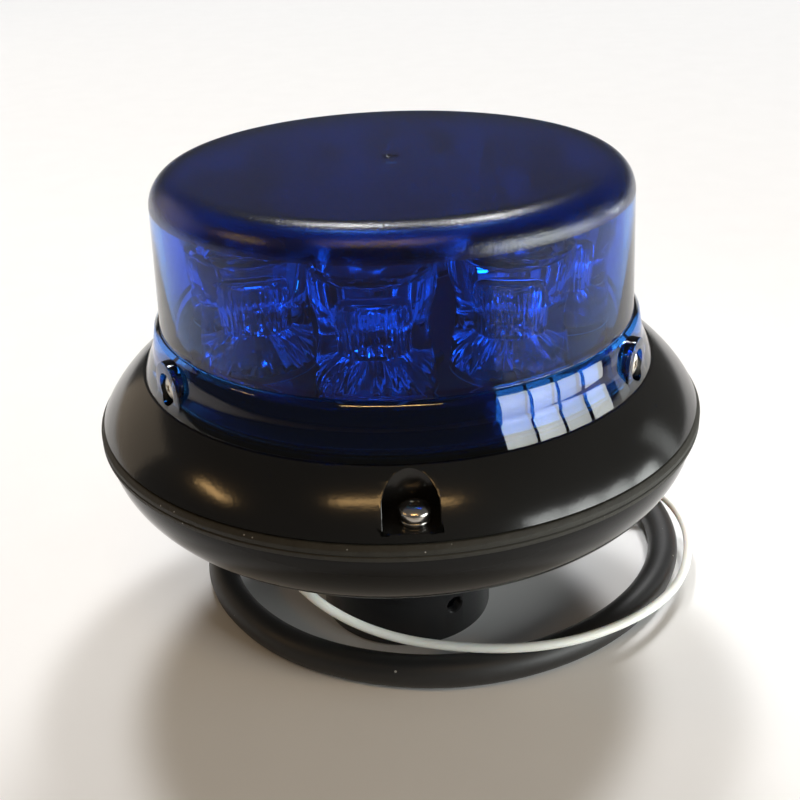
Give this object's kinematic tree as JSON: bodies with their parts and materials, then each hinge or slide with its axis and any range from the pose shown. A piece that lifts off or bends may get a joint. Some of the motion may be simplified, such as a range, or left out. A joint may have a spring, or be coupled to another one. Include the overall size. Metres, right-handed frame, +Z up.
{
  "type": "warning light",
  "caption": "Blue LED warning beacon: clear blue lens over side-throwing optics on a domed black base, with a pole socket and a short supply lead underneath.",
  "frame": {"origin": "centre of the pole tube's lower end, on the surface that the beacon stands on", "axes": "+Z up along the beacon's axis; -Y is the front, where one bolt pocket shows; +X to the right"},
  "size_m": [0.1525, 0.1604, 0.1196],
  "materials": {
    "lens_blue": "clear deep blue moulding, glossy wall and fine matte top",
    "optic_clear": "clear glossy moulding",
    "housing_black": "satin black moulding",
    "pan_black": "satin to glossy black moulding",
    "tube_black": "satin black coated tube",
    "rubber_black": "matte speckled rubber",
    "cable_black": "matte cable jacket",
    "screw_steel": "plated steel, bright",
    "brass": "machined brass",
    "board": "black solder mask",
    "led_body": "clear dome on a pale package",
    "component": "dark electronic parts",
    "terminal_green": "moulded terminals",
    "core_copper": "stripped copper",
    "nylon": "natural nylon"
  },
  "bodies": {
    "root": {"pole_tube": "tube_black", "tube_flange": "tube_black", "lower_pan": "pan_black", "base_gasket": "rubber_black", "upper_housing": "housing_black", "lens": "lens_blue", "lens_seal": "rubber_black", "lens_screws": "screw_steel", "spring_washers": "screw_steel", "base_inserts": "brass", "base_screws": "screw_steel", "flange_screws": "screw_steel", "board_screws": "screw_steel", "driver_screws": "screw_steel", "led_board": "board", "leds": "led_body", "optic_1": "optic_clear", "optic_2": "optic_clear", "optic_3": "optic_clear", "optic_4": "optic_clear", "optic_5": "optic_clear", "optic_6": "optic_clear", "optic_7": "optic_clear", "optic_8": "optic_clear", "driver_board": "board", "driver_posts": "brass", "driver_choke": "component", "driver_capacitors": "component", "terminal_block": "terminal_green", "cable_gland": "tube_black", "gland_locknut": "tube_black", "supply_cable": "cable_black", "cable_cores": "core_copper", "tie_strap": "nylon", "tie_head": "nylon"}
  },
  "joints": []
}
